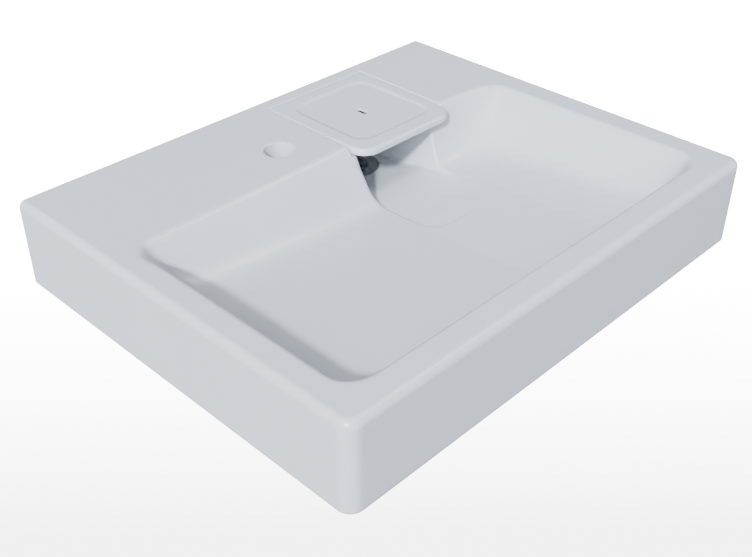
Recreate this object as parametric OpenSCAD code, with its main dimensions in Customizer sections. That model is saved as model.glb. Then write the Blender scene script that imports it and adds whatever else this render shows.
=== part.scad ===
// Wall-hung cast-marble washbasin with a hidden drain under a lift-off cover,
// its grid waste and bottle trap, and the two steel brackets that carry it.
// The origin is the centre of the basin's wall face. X runs along the wall,
// Y points into the wall, so the front is at -Y, and Z is up.

/* [Basin] */
// Width along the wall
basin_w = 600; // [560:5:700]
// Depth from the wall to the front
basin_d = 480; // [450:5:540]
// Height of the outer sides
basin_h = 100; // [96:1:130]
// Thickness of the cast shell
shell_t = 12; // [9:0.5:14]
// Rounding of the top outer edges
edge_r = 8; // [3:0.5:12]
// Rounding of the two front corners in plan
corner_r = 15; // [9:1:30]

/* [Bowl] */
// Width of the rim at the sides and the front
rim_w = 33; // [24:1:45]
// Depth of the flat deck behind the bowl
deck_d = 148; // [142:1:160]
// Depth of the bowl where it meets the well
bowl_depth = 60; // [50:1:64]
// Smoothing length that blends the walls and the floor
bowl_blend = 30; // [14:1:36]

/* [Tap hole] */
// Diameter of the tap hole
tap_hole_d = 35; // [30:0.5:38]
// Distance of the tap hole to the left of the centre
tap_hole_left = 40; // [30:1:60]
// Distance of the tap hole from the wall
tap_hole_back = 105; // [80:1:115]

/* [Drain cover] */
// Width of the cover
cover_w = 150; // [144:1:160]
// Depth of the cover from back to front
cover_d = 158; // [150:1:170]
// Thickness of the cover
cover_t = 8; // [6:0.5:10]
// Distance of the cover's middle to the right of the centre
cover_right = 94.5; // [88:0.5:110]
// Distance of the cover's back edge from the wall
cover_back = 20; // [18:1:26]
// Rounding of the cover's front corners
cover_corner_r = 22; // [8:1:30]
// Gap round the cover in its seat
cover_gap = 2; // [1:0.25:3]
// Depth of the dished panel in the cover
panel_depth = 1.5; // [0.5:0.25:2.5]
// Width of the flat border round the panel
panel_border = 17; // [12:1:24]
// Width of the finger slot
slot_w = 6; // [5:0.5:9]
// Length of the finger slot
slot_l = 16; // [12:1:24]
// Thickness of the pads under the cover
pad_t = 2; // [1:0.25:3]
// Width of a pad under the cover
pad_w = 3.5; // [2.5:0.25:4.5]
// Length of a pad under the cover
pad_l = 14; // [8:1:20]

/* [Well] */
// Depth of the well floor below the deck
well_depth = 76; // [68:1:80]
// Ledge under the cover's left edge
ledge_left = 5; // [4.5:0.5:9]
// Ledge under the cover's right edge
ledge_right = 20; // [12:1:26]
// Ledge under the cover's back edge
ledge_back = 14; // [8:1:18]
// Rounding of the well's back corners
well_r = 12; // [4:1:20]
// Length of the scoop that leads from the bowl into the well
scoop_l = 132; // [100:1:150]
// Rounding of the scoop's front corners
scoop_r = 35; // [10:1:45]
// Distance of the drain from the wall
drain_back = 84; // [80:1:92]

/* [Waste] */
// Outer diameter of the strainer flange
flange_d = 70; // [64:1:76]
// Thickness of the pressed steel flange
flange_t = 1.2; // [0.8:0.1:2]
// Depth of the strainer dish
dish_depth = 9; // [7:0.5:12]
// Diameter of the drain hole in the basin
drain_hole_d = 50; // [46:1:54]
// Thickness of the seal above the shell
upper_seal_t = 2; // [1:0.5:3]
// Thickness of the seal below the shell
lower_seal_t = 4; // [2:0.5:6]
// Outer diameter of the waste tail
tail_d = 38; // [34:1:42]
// Length of the waste body below its seal
waste_l = 58; // [50:1:70]
// Depth of the waste body's cup
waste_cup_h = 20; // [18:1:26]
// Nominal diameter of the waste screw
waste_screw_d = 6; // [5:0.5:8]
// Diameter of a hole in the grid
grid_hole_d = 6.8; // [4:0.2:8]

/* [Trap] */
// Outer diameter of the trap's pipes
pipe_d = 32; // [30:1:34]
// Wall thickness of the pipes
pipe_t = 2; // [1.5:0.25:3]
// Outer diameter of the trap's head
head_d = 68; // [62:1:76]
// Wall thickness of the moulded trap parts
mould_t = 3; // [2:0.25:4]
// Height of the trap's head below its neck
head_h = 58; // [56:1:70]
// Height of the cup below the head
cup_h = 56; // [40:1:80]
// Length of the outlet stub beyond the head
stub_l = 16; // [14:1:24]
// Height of the grip ring on the cup
grip_h = 14; // [10:1:20]
// Outer diameter of the union nuts
nut_d = 52; // [50:1:56]
// Height of the union nuts
nut_h = 24; // [22:1:30]
// Length of the outlet pipe beyond the wall
outlet_out = 30; // [20:1:60]
// Diameter of the wall rosette
rosette_d = 76; // [64:1:90]

/* [Brackets] */
// Distance of each bracket from the centre
bracket_x = 170; // [166:1:190]
// Width of a bracket's arm and leg
bracket_w = 40; // [36:1:50]
// Thickness of the arm and the leg
bracket_t = 5; // [4:0.5:8]
// Length of the arm beyond its front bolt
arm_overhang = 30; // [26:1:40]
// Length of the arm that the gusset braces
gusset_l = 295; // [200:5:305]
// Height of the leg below the arm's top
leg_h = 126; // [110:1:160]
// Thickness of the gusset
gusset_t = 4; // [3:0.5:6]
// Thickness of the rubber strip on the arm
strip_t = 2; // [1:0.5:4]
// Diameter of the holes for the wall screws
wall_hole_d = 9; // [7:0.5:11]
// Distance between a leg's two wall holes
wall_hole_pitch = 66; // [50:1:90]
// Distance of the upper wall hole below the arm's top
wall_hole_drop = 38; // [30:1:44]
// Nominal diameter of the bracket bolts
bolt_d = 8; // [6:0.5:9]
// Distance of the rear bracket bolts from the wall
rear_bolt_back = 60; // [50:1:80]
// Distance of the front bracket bolts from the wall
front_bolt_back = 335; // [320:5:345]
// Length of the threaded inserts
insert_l = 20; // [16:1:24]

/* [Hidden] */
$fn = 64;

// Overrun that carries every cut past the face it opens
over = 6;
// Clearance between pieces that move apart
move_gap = 0.3;
// Clearance of a pipe in a nut or a rosette
slip = 0.2;

// Main levels
deck_z = basin_h / 2;
base_z = -basin_h / 2;
well_floor_z = deck_z - well_depth;
well_under_z = well_floor_z - shell_t;

// Bowl outline on the deck
bowl_left = -basin_w / 2 + rim_w;
bowl_right = basin_w / 2 - rim_w;
bowl_front = -basin_d + rim_w;
bowl_back = -deck_d;
bowl_w = bowl_right - bowl_left;
bowl_d = bowl_back - bowl_front;
// Steepness of the walls, as fall over run
side_steep_share = 1.25;
front_steep_share = 1.9;
back_left_steep_share = 1.15;
back_right_steep_share = 2;
// How far the back wall's foot line bends forward at the left and at the right
back_left_bend = 1;
back_right_bend = 8;
right_back_steep_share = 0.7;
right_front_steep_share = 2.2;
// How much the floor rises away from the well, as fall over run
floor_rise_share = 0.05;
// Number of cells in the bowl's surface each way
bowl_nx = 32;
bowl_ny = 20;

// Cover and its seat
cover_x0 = cover_right - cover_w / 2;
cover_x1 = cover_right + cover_w / 2;
cover_y1 = -cover_back;
cover_y0 = cover_y1 - cover_d;
seat_z = deck_z - cover_t - pad_t - move_gap;
cover_z = deck_z - cover_t;
slot_chamfer = 2;
panel_front_extra = 1;
panel_r = cover_corner_r - slot_chamfer;
pad_inset = 0.5;

// Well under the cover
well_x0 = cover_x0 + ledge_left;
well_x1 = cover_x1 - ledge_right;
well_y1 = cover_y1 - ledge_back;
well_front_y = bowl_back - scoop_l;
// Lean of the well's right wall, as run over fall
well_lean_share = 0.3;
drain_x = (well_x0 + well_x1) / 2;
drain_y = -drain_back;
recess_depth = upper_seal_t + flange_t;
recess_gap = 1;
recess_r = flange_d / 2 + recess_gap;
recess_z = well_floor_z - recess_depth;
// Knee of the scoop, where the steep part above the drain becomes flatter
ramp_share = 0.34;
knee_share = 0.87;
knee_y = drain_y - recess_r - ramp_share * (drain_y - recess_r - well_front_y);
knee_z = deck_z - knee_share * well_depth;
drain_hole_r = drain_hole_d / 2;

// Waste below the well
flange_r = flange_d / 2;
dish_gap = 1.5;
dish_r = drain_hole_r - dish_gap;
grid_z = well_floor_z - dish_depth;
grid_hole_r = grid_hole_d / 2;
grid_margin = 4.6;
grid_ring_r = dish_r - grid_margin - grid_hole_r;
waste_screw_r = waste_screw_d / 2;
screw_head_r = waste_screw_d;
screw_head_h = waste_screw_d / 2;
seal_inset = 1;
seal_inner_r = drain_hole_r + seal_inset;
seal_outer_r = flange_r - dish_gap;
waste_top_z = well_under_z - lower_seal_t;
waste_flange_t = 4;
tail_r = tail_d / 2;
pipe_r = pipe_d / 2;
pipe_bore_r = pipe_r - pipe_t;
cup_inner_r = drain_hole_r - mould_t;
cup_bottom_z = waste_top_z - waste_cup_h;
waste_end_z = waste_top_z - waste_l;
bridge_w = 16;
bridge_h = 10;
bridge_drop = 5;
bridge_z = waste_top_z - bridge_h - bridge_drop;
nut_radius_share = 0.95;
nut_height_share = 0.8;
brass_nut_r = waste_screw_d * nut_radius_share;
brass_nut_h = waste_screw_d * nut_height_share;
brass_nut_z = bridge_z + bridge_h - brass_nut_h;
screw_tip = 2;
screw_end_z = bridge_z - screw_tip;

// Union between the waste tail and the trap's inlet
nut_r = nut_d / 2;
rib_count = 12;
rib_r = 2.2;
seal_t = 3;
collar_t = 3;
lip_t = 5;
union_top_z = waste_end_z + nut_h - seal_t - collar_t - lip_t;
collar_top_z = waste_end_z - seal_t;
union_low_z = collar_top_z - collar_t - lip_t;

// Trap
head_nut_gap = 4;
head_nut_z1 = union_low_z - head_nut_gap;
head_nut_z0 = head_nut_z1 - nut_h;
neck_wall = 5;
neck_r = pipe_r + neck_wall;
cone_seal_t = 5;
neck_top_z = head_nut_z1 - lip_t - cone_seal_t;
nut_clear = 2;
head_top_z = head_nut_z0 - nut_clear;
head_r = head_d / 2;
head_low_z = head_top_z - head_h;
outlet_drop = 7;
outlet_z = head_top_z - pipe_r - outlet_drop;
stub_wall = 4;
stub_r = pipe_r + stub_wall;
cup_r = head_r - mould_t - slip;
cup_thread_l = 12;
cup_top_z = head_low_z + cup_thread_l;
cup_bottom = head_low_z - cup_h;
dip_gap = 20;
inlet_end_z = cup_bottom + dip_gap;
stub_end_y = drain_y + head_r + stub_l;
outlet_nut_y1 = stub_end_y + seal_t + lip_t;
outlet_nut_y0 = outlet_nut_y1 - nut_h + nut_clear;
outlet_in_y = drain_y + head_r + nut_clear;
rosette_r = rosette_d / 2;
rosette_t = 8;
rosette_wall = 1.5;
bead_w = 3;

// Brackets
strip_z = base_z - strip_t;
arm_low_z = strip_z - bracket_t;
leg_low_z = strip_z - leg_h;
arm_l = front_bolt_back + arm_overhang;
rib_w = 26;
rib_extra = 5;
rib_end = arm_l + rib_extra;
strip_inset = 2;
strip_end_inset = 10;
strip_w = bracket_w - 2 * strip_inset;
strip_l = arm_l - strip_end_inset;
gusset_toe = 8;
bolt_r = bolt_d / 2;
head_radius_share = 0.94;
head_height_share = 0.66;
washer_radius_share = 1.05;
washer_height_share = 0.2;
insert_radius_share = 0.75;
bolt_head_r = bolt_d * head_radius_share;
bolt_head_h = bolt_d * head_height_share;
insert_floor = 4;
bolt_reach = insert_l - insert_floor;
washer_r = bolt_d * washer_radius_share;
washer_t = bolt_d * washer_height_share;
insert_r = bolt_d * insert_radius_share;
bolt_backs = [rear_bolt_back, front_bolt_back];
sides = [-1, 1];

white_stone = "whitesmoke";
moulded_white = "white";
rubber_black = "dimgray";
steel_grey = "silver";

// Smooth minimum: equals the lower value where the two differ by more than k
function soft_min(a, b, k) = min(a, b) - pow(max(k - abs(a - b), 0), 2) / (4 * k);
// Straight blend from a to b
function mix(a, b, t) = a + (b - a) * min(max(t, 0), 1);
// Share of the way across, with the steps closer together at both ends
function crowded(t) = (t + (1 - cos(180 * t)) / 2) / 2;

// Depth of the bowl below the deck at (x, y), for a surface moved outwards by g
function bowl_drop(x, y, g) =
  let (
    run_x = (x - bowl_left) / bowl_w,
    run_y = (bowl_back - y) / bowl_d,
    left = side_steep_share * (x - bowl_left + g),
    right = mix(right_back_steep_share, right_front_steep_share, run_y) * (bowl_right + g - x),
    front = front_steep_share * (y - bowl_front + g),
    bend = mix(back_left_bend, back_right_bend, run_x),
    back = mix(back_left_steep_share, back_right_steep_share, run_x) * (bowl_back - bend + g - y),
    rise = floor_rise_share * (max(well_x0 - x, x - well_x1, 0) + max(bowl_back - bowl_depth - y, 0) / 2),
    floor = bowl_depth + g - rise
  )
  soft_min(soft_min(soft_min(left, right, bowl_blend), soft_min(front, back, bowl_blend), bowl_blend),
           floor, bowl_blend);

// Solid that fills the bowl up past the deck, grown outwards by g
module bowl_solid(g) {
  reach = g + over / 2;
  x0 = bowl_left - reach;
  y0 = bowl_front - reach;
  span_x = bowl_w + 2 * reach;
  span_y = bowl_d + 2 * reach;
  cols = bowl_nx + 1;
  rows = bowl_ny + 1;
  count = cols * rows;
  top_z = deck_z + bowl_blend + over;
  low = [for (j = [0:bowl_ny], i = [0:bowl_nx])
    let (x = x0 + span_x * crowded(i / bowl_nx), y = y0 + span_y * crowded(j / bowl_ny))
    [x, y, deck_z - bowl_drop(x, y, g)]];
  high = [for (p = low) [p[0], p[1], top_z]];
  under_faces = [for (j = [0:bowl_ny - 1], i = [0:bowl_nx - 1], half = [0, 1])
    let (a = j * cols + i, b = a + 1, c = a + cols, d = c + 1)
    half == 0 ? [a, b, d] : [a, d, c]];
  upper_faces = [for (f = under_faces) [f[0] + count, f[2] + count, f[1] + count]];
  edge = concat(
    [for (i = [0:bowl_nx - 1]) i],
    [for (j = [0:bowl_ny - 1]) j * cols + bowl_nx],
    [for (i = [bowl_nx:-1:1]) bowl_ny * cols + i],
    [for (j = [bowl_ny:-1:1]) j * cols]);
  turns = len(edge);
  side_faces = [for (k = [0:turns - 1], half = [0, 1])
    let (a = edge[k], b = edge[(k + 1) % turns])
    half == 0 ? [a, a + count, b + count] : [a, b + count, b]];
  polyhedron(concat(low, high), concat(under_faces, upper_faces, side_faces), convexity = 6);
}

// Rectangle from corner a to corner b with its front corners rounded
module front_rounded(x0, y0, x1, y1, r) {
  union() {
    translate([x0, y0 + r]) square([x1 - x0, y1 - y0 - r]);
    translate([x0 + r, y0]) square([x1 - x0 - 2 * r, r]);
    for (x = [x0 + r, x1 - r]) translate([x, y0 + r]) circle(r);
  }
}

// Rectangle with its back corners rounded
module back_rounded(x0, y0, x1, y1, r) {
  mirror([0, 1]) front_rounded(x0, -y1, x1, -y0, r);
}

// Space of the well and the scoop into it, grown outwards by g
module well_solid(g) {
  front = well_front_y - g;
  low_z = well_floor_z - g;
  lean = well_lean_share * well_depth;
  intersection() {
    // Plan
    translate([0, 0, base_z - over])
      linear_extrude(basin_h + 2 * over)
        union() {
          back_rounded(well_x0 - g, drain_y - recess_r, well_x1 + g, well_y1 + g, well_r + g);
          front_rounded(well_x0 - g, front, well_x1 + g, drain_y, scoop_r + g);
        }
    // Side view: floor, ramp and scoop
    translate([well_x0 - g - over, 0, 0])
      rotate([90, 0, 90])
        linear_extrude(well_x1 - well_x0 + 2 * g + 2 * over)
          polygon([
            [well_y1 + g, deck_z + over],
            [well_y1 + g, low_z],
            [drain_y - recess_r, low_z],
            [knee_y, knee_z - g],
            [front, deck_z - bowl_depth - g],
            [front, deck_z + over]]);
    // Front view: the right wall leans outwards
    translate([0, well_y1 + g + over, 0])
      rotate([90, 0, 0])
        linear_extrude(well_y1 - well_front_y + 2 * g + 2 * over)
          polygon([
            [well_x0 - g, deck_z + over],
            [well_x0 - g, low_z - over],
            [well_x1 - lean + g, low_z - over],
            [well_x1 - lean + g, low_z],
            [well_x1 + g, deck_z - g],
            [well_x1 + g, deck_z + over]]);
  }
}

// Outer block of the basin with its rounded top edges
module outer_block() {
  half_w = basin_w / 2;
  intersection() {
    translate([0, 0, base_z])
      linear_extrude(basin_h)
        front_rounded(-half_w, -basin_d, half_w, 0, corner_r);
    // Front to back: both upper side edges rounded
    translate([0, over, 0])
      rotate([90, 0, 0])
        linear_extrude(basin_d + 2 * over) {
          translate([-half_w, base_z - over]) square([basin_w, basin_h + over - edge_r]);
          translate([-half_w + edge_r, base_z]) square([basin_w - 2 * edge_r, basin_h]);
          for (x = [-half_w + edge_r, half_w - edge_r]) translate([x, deck_z - edge_r]) circle(edge_r);
        }
    // Side to side: the upper front edge rounded
    translate([-half_w - over, 0, 0])
      rotate([90, 0, 90])
        linear_extrude(basin_w + 2 * over) {
          translate([-basin_d, base_z - over]) square([basin_d + over, basin_h + over - edge_r]);
          translate([-basin_d + edge_r, base_z]) square([basin_d - edge_r + over, basin_h]);
          translate([-basin_d + edge_r, deck_z - edge_r]) circle(edge_r);
        }
  }
}

// Hollow underside: open at the bottom, closed above by the deck, bowl and well
module underside_hollow() {
  inner_r = max(corner_r - shell_t, move_gap);
  difference() {
    translate([0, 0, base_z - over])
      linear_extrude(basin_h + over - shell_t)
        front_rounded(-basin_w / 2 + shell_t, -basin_d + shell_t,
                      basin_w / 2 - shell_t, -shell_t, inner_r);
    bowl_solid(shell_t);
    well_solid(shell_t);
    // Floor of the cover's seat
    translate([cover_x0 - cover_gap - shell_t, cover_y0, seat_z - shell_t])
      cube([cover_w + 2 * (cover_gap + shell_t), cover_d + cover_gap + shell_t, basin_h]);
    // Cast ribs over the brackets
    for (s = sides)
      translate([s * bracket_x - rib_w / 2, -rib_end, base_z - 2 * over])
        cube([rib_w, rib_end, basin_h + 2 * over]);
  }
}

module basin_body() {
  color(white_stone)
    difference() {
      outer_block();
      bowl_solid(0);
      well_solid(0);
      underside_hollow();
      // Seat of the cover
      translate([0, 0, seat_z])
        linear_extrude(basin_h)
          front_rounded(cover_x0 - cover_gap, cover_y0 - cover_gap,
                        cover_x1 + cover_gap, cover_y1 + cover_gap, cover_corner_r);
      // Tap hole
      translate([-tap_hole_left, -tap_hole_back, deck_z - shell_t - over])
        cylinder(h = shell_t + 2 * over, r = tap_hole_d / 2);
      // Drain hole and the recess round it
      translate([drain_x, drain_y, well_under_z - over])
        cylinder(h = shell_t + 2 * over, r = drain_hole_r);
      translate([drain_x, drain_y, recess_z])
        cylinder(h = recess_depth + over, r = recess_r);
      // Pockets of the threaded inserts
      for (s = sides, back = bolt_backs)
        translate([s * bracket_x, -back, base_z - over])
          cylinder(h = insert_l + over, r = insert_r);
    }
}

// Slot with round ends along Y
module slot_shape(w, l) {
  union() {
    square([w, l - w], center = true);
    for (s = sides) translate([0, s * (l - w) / 2]) circle(w / 2);
  }
}

module drain_cover() {
  mid_y = (cover_y0 + cover_y1) / 2;
  color(white_stone)
    difference() {
      translate([0, 0, cover_z])
        linear_extrude(cover_t)
          front_rounded(cover_x0, cover_y0, cover_x1, cover_y1, cover_corner_r);
      // Dished panel
      translate([0, 0, deck_z - panel_depth])
        linear_extrude(panel_depth + over) {
          x0 = cover_x0 + panel_border;
          x1 = cover_x1 - panel_border;
          y0 = cover_y0 + panel_border + panel_front_extra;
          y1 = cover_y1 - panel_border;
          translate([x0 + panel_r, y0]) square([x1 - x0 - 2 * panel_r, y1 - y0]);
          translate([x0, y0 + panel_r]) square([x1 - x0, y1 - y0 - 2 * panel_r]);
          for (x = [x0 + panel_r, x1 - panel_r], y = [y0 + panel_r, y1 - panel_r])
            translate([x, y]) circle(panel_r);
        }
      // Finger slot, through the cover, with its sunk rim
      translate([cover_right, mid_y, cover_z - over])
        linear_extrude(cover_t + 2 * over) slot_shape(slot_w, slot_l);
      translate([cover_right, mid_y, deck_z - panel_depth - slot_chamfer])
        linear_extrude(slot_chamfer + over)
          slot_shape(slot_w + 2 * slot_chamfer, slot_l + 2 * slot_chamfer);
    }
}

// Four silicone pads glued under the cover, over the ledges
module cover_pads() {
  back_y = cover_y1 - pad_l;
  front_y = -deck_d + pad_l;
  color("lightgray")
    for (x = [cover_x0 + pad_inset + pad_w / 2, cover_x1 - ledge_right / 2],
         y = [back_y, front_y])
      translate([x - pad_w / 2, y - pad_l / 2, cover_z - pad_t])
        cube([pad_w, pad_l, pad_t]);
}

// Flat ring between two radii
module ring(inner_r, outer_r, h) {
  difference() {
    cylinder(h = h, r = outer_r);
    translate([0, 0, -over]) cylinder(h = h + 2 * over, r = inner_r);
  }
}

module at_drain(z) {
  translate([drain_x, drain_y, z]) children();
}

// Pressed steel dish with a flange, a grid of holes and a hole for the screw
module strainer_flange() {
  color(steel_grey)
    at_drain(0)
      difference() {
        rotate_extrude()
          polygon([
            [0, grid_z],
            [dish_r, grid_z],
            [dish_r, well_floor_z - flange_t],
            [flange_r, well_floor_z - flange_t],
            [flange_r, well_floor_z],
            [dish_r - flange_t, well_floor_z],
            [dish_r - flange_t, grid_z + flange_t],
            [0, grid_z + flange_t]]);
        translate([0, 0, grid_z - over]) cylinder(h = flange_t + 2 * over, r = waste_screw_r);
        for (a = [0:45:315])
          rotate([0, 0, a])
            translate([grid_ring_r, 0, grid_z - over])
              cylinder(h = flange_t + 2 * over, r = grid_hole_r, $fn = 32);
      }
}

module strainer_screw() {
  color(steel_grey)
    at_drain(0) {
      difference() {
        translate([0, 0, grid_z + flange_t]) cylinder(h = screw_head_h, r = screw_head_r);
        // Driver slot
        translate([-screw_head_r - over, -flange_t / 2, grid_z + flange_t + screw_head_h / 2])
          cube([2 * (screw_head_r + over), flange_t, screw_head_h]);
      }
      translate([0, 0, screw_end_z])
        cylinder(h = grid_z + flange_t - screw_end_z, r = waste_screw_r);
    }
}

module upper_seal() {
  color(rubber_black)
    at_drain(recess_z) ring(seal_inner_r, seal_outer_r, upper_seal_t);
}

module lower_seal() {
  color(rubber_black)
    at_drain(waste_top_z) ring(seal_inner_r, seal_outer_r - seal_inset, lower_seal_t);
}

// Moulded waste body: flange, cup, bridge for the nut and a tail
module waste_body() {
  color(moulded_white)
    at_drain(0)
      difference() {
        union() {
          rotate_extrude()
            polygon([
              [pipe_bore_r, waste_end_z],
              [tail_r, waste_end_z],
              [tail_r, cup_bottom_z - mould_t],
              [cup_inner_r + mould_t, cup_bottom_z],
              [cup_inner_r + mould_t, waste_top_z - waste_flange_t],
              [seal_outer_r, waste_top_z - waste_flange_t],
              [seal_outer_r, waste_top_z],
              [cup_inner_r, waste_top_z],
              [cup_inner_r, cup_bottom_z],
              [pipe_bore_r, cup_bottom_z - mould_t]]);
          translate([-cup_inner_r - mould_t / 2, -bridge_w / 2, bridge_z])
            cube([2 * cup_inner_r + mould_t, bridge_w, bridge_h]);
        }
        translate([0, 0, bridge_z - over])
          cylinder(h = bridge_h + 2 * over, r = waste_screw_r);
        translate([0, 0, brass_nut_z]) cylinder(h = bridge_h, r = brass_nut_r, $fn = 6);
      }
}

module insert_nut() {
  color("goldenrod")
    at_drain(brass_nut_z)
      difference() {
        cylinder(h = brass_nut_h, r = brass_nut_r, $fn = 6);
        translate([0, 0, -over]) cylinder(h = brass_nut_h + 2 * over, r = waste_screw_r);
      }
}

// Ribbed plastic nut from z = 0 up: a lip round the pipe and a body round the thread
module ribbed_nut(h, thread_r) {
  difference() {
    union() {
      cylinder(h = h, r = nut_r - rib_r / 2);
      for (k = [0:rib_count - 1])
        rotate([0, 0, k * 360 / rib_count])
          translate([nut_r - rib_r, 0, 0]) cylinder(h = h, r = rib_r, $fn = 24);
    }
    translate([0, 0, -over]) cylinder(h = h + 2 * over, r = pipe_r + slip);
    translate([0, 0, lip_t]) cylinder(h = h, r = thread_r);
  }
}

module union_nut() {
  color(moulded_white)
    at_drain(union_low_z) ribbed_nut(union_top_z - union_low_z, tail_r);
}

module union_seal() {
  color(rubber_black)
    at_drain(collar_top_z) ring(pipe_bore_r, tail_r, seal_t);
}

// Inlet pipe with a collar under the seal; it dips into the cup
module trap_inlet() {
  color(moulded_white)
    at_drain(0)
      rotate_extrude()
        polygon([
          [pipe_bore_r, inlet_end_z],
          [pipe_r, inlet_end_z],
          [pipe_r, collar_top_z - collar_t],
          [tail_r, collar_top_z - collar_t],
          [tail_r, collar_top_z],
          [pipe_bore_r, collar_top_z]]);
}

module head_nut() {
  color(moulded_white)
    at_drain(head_nut_z1) mirror([0, 0, 1]) ribbed_nut(nut_h, neck_r);
}

module head_seal() {
  color(rubber_black)
    at_drain(neck_top_z) ring(pipe_r, neck_r, head_nut_z1 - lip_t - neck_top_z);
}

// Trap head: neck for the inlet, dome, skirt for the cup and stub for the outlet
module trap_head() {
  inner_r = head_r - mould_t;
  color(moulded_white)
    difference() {
      union() {
        at_drain(0)
          rotate_extrude()
            polygon([
              [0, head_low_z],
              [head_r, head_low_z],
              [head_r, head_top_z - mould_t],
              [head_r - mould_t, head_top_z],
              [neck_r, head_top_z],
              [neck_r, neck_top_z],
              [0, neck_top_z]]);
        translate([drain_x, drain_y, outlet_z])
          rotate([-90, 0, 0]) cylinder(h = stub_end_y - drain_y, r = stub_r);
      }
      at_drain(head_low_z - over)
        cylinder(h = head_top_z - mould_t - head_low_z + over, r = inner_r);
      at_drain(head_top_z - 2 * mould_t)
        cylinder(h = neck_top_z - head_top_z + 2 * mould_t + over, r = pipe_r);
      translate([drain_x, drain_y, outlet_z])
        rotate([-90, 0, 0]) cylinder(h = stub_end_y - drain_y + over, r = pipe_r);
    }
}

module cup_seal() {
  color(rubber_black)
    at_drain(cup_top_z) ring(cup_r - mould_t, head_r - mould_t, seal_t);
}

// Cup that unscrews for cleaning
module trap_cup() {
  wall_r = cup_r - mould_t;
  low_r = cup_r - 2 * mould_t;
  taper_z = head_low_z - grip_h - nut_clear;
  color(moulded_white)
    at_drain(0) {
      rotate_extrude()
        polygon([
          [0, cup_bottom],
          [low_r - mould_t, cup_bottom],
          [low_r, cup_bottom + mould_t],
          [cup_r, taper_z],
          [cup_r, cup_top_z],
          [wall_r, cup_top_z],
          [wall_r, taper_z],
          [low_r - mould_t, cup_bottom + 2 * mould_t],
          [low_r - 2 * mould_t, cup_bottom + mould_t],
          [0, cup_bottom + mould_t]]);
      // Grip ring below the head
      translate([0, 0, head_low_z - grip_h])
        difference() {
          union() {
            cylinder(h = grip_h, r = head_r);
            for (k = [0:2 * rib_count - 1])
              rotate([0, 0, k * 180 / rib_count])
                translate([head_r, 0, 0]) cylinder(h = grip_h, r = rib_r, $fn = 24);
          }
          translate([0, 0, -over]) cylinder(h = grip_h + 2 * over, r = (wall_r + cup_r) / 2);
        }
    }
}

module at_outlet(y) {
  translate([drain_x, y, outlet_z]) rotate([-90, 0, 0]) children();
}

module outlet_nut() {
  color(moulded_white)
    at_outlet(outlet_nut_y1) mirror([0, 0, 1])
      ribbed_nut(outlet_nut_y1 - outlet_nut_y0, stub_r);
}

module outlet_seal() {
  color(rubber_black)
    at_outlet(stub_end_y) ring(pipe_r, stub_r, outlet_nut_y1 - lip_t - stub_end_y);
}

// Outlet pipe with a stop bead that lies against the wall under the rosette
module outlet_pipe() {
  color(moulded_white)
    at_outlet(0)
      rotate_extrude()
        polygon([
          [pipe_bore_r, outlet_in_y],
          [pipe_r, outlet_in_y],
          [pipe_r, -bead_w],
          [pipe_r + pipe_t, -bead_w],
          [pipe_r + pipe_t, 0],
          [pipe_r, 0],
          [pipe_r, outlet_out],
          [pipe_bore_r, outlet_out]]);
}

// Domed trim ring against the wall
module wall_rosette() {
  color(moulded_white)
    at_outlet(-rosette_t)
      rotate_extrude()
        polygon([
          [pipe_r + slip, 0],
          [pipe_r + slip + rosette_wall, 0],
          [rosette_r - rosette_wall, rosette_t - rosette_wall],
          [rosette_r, rosette_t],
          [rosette_r - 2 * rosette_wall, rosette_t],
          [pipe_r + slip + rosette_wall, 2 * rosette_wall],
          [pipe_r + slip, 2 * rosette_wall]]);
}

// Welded steel bracket, for the right side; the left one is its mirror image
module bracket() {
  inner_x = bracket_x - bracket_w / 2;
  color("gainsboro")
    difference() {
      union() {
        translate([inner_x, -arm_l, arm_low_z]) cube([bracket_w, arm_l, bracket_t]);
        translate([inner_x, -bracket_t, leg_low_z]) cube([bracket_w, bracket_t, leg_h]);
        translate([bracket_x + bracket_w / 2 - gusset_t, 0, 0])
          rotate([90, 0, 90])
            linear_extrude(gusset_t)
              polygon([
                [-bracket_t, arm_low_z],
                [-gusset_l, arm_low_z],
                [-gusset_l, arm_low_z - gusset_toe],
                [-bracket_t, leg_low_z + gusset_toe]]);
      }
      for (back = bolt_backs)
        translate([bracket_x, -back, arm_low_z - over])
          cylinder(h = bracket_t + 2 * over, r = bolt_r);
      for (k = [0, 1])
        translate([bracket_x, over, strip_z - wall_hole_drop - k * wall_hole_pitch])
          rotate([90, 0, 0]) cylinder(h = bracket_t + 2 * over, r = wall_hole_d / 2);
    }
}

module right_bracket() {
  bracket();
}

module left_bracket() {
  mirror([1, 0, 0]) bracket();
}

// Places one child at each of the four bracket bolts
module at_bolts(z) {
  for (s = sides, back = bolt_backs) translate([s * bracket_x, -back, z]) children();
}

// Rubber strips between the arms and the ribs
module bracket_strips() {
  color(rubber_black)
    difference() {
      for (s = sides)
        translate([s * bracket_x - strip_w / 2, -strip_l, strip_z]) cube([strip_w, strip_l, strip_t]);
      at_bolts(strip_z - over) cylinder(h = strip_t + 2 * over, r = bolt_r);
    }
}

// Threaded brass inserts cast into the ribs
module bracket_inserts() {
  color("goldenrod")
    at_bolts(base_z) ring(bolt_r, insert_r, insert_l);
}

module bracket_washers() {
  color(steel_grey)
    at_bolts(arm_low_z - washer_t) ring(bolt_r, washer_r, washer_t);
}

module bracket_bolts() {
  color(steel_grey)
    at_bolts(arm_low_z - washer_t) {
      translate([0, 0, -bolt_head_h]) cylinder(h = bolt_head_h, r = bolt_head_r, $fn = 6);
      cylinder(h = base_z + bolt_reach - arm_low_z + washer_t, r = bolt_r);
    }
}

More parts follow.
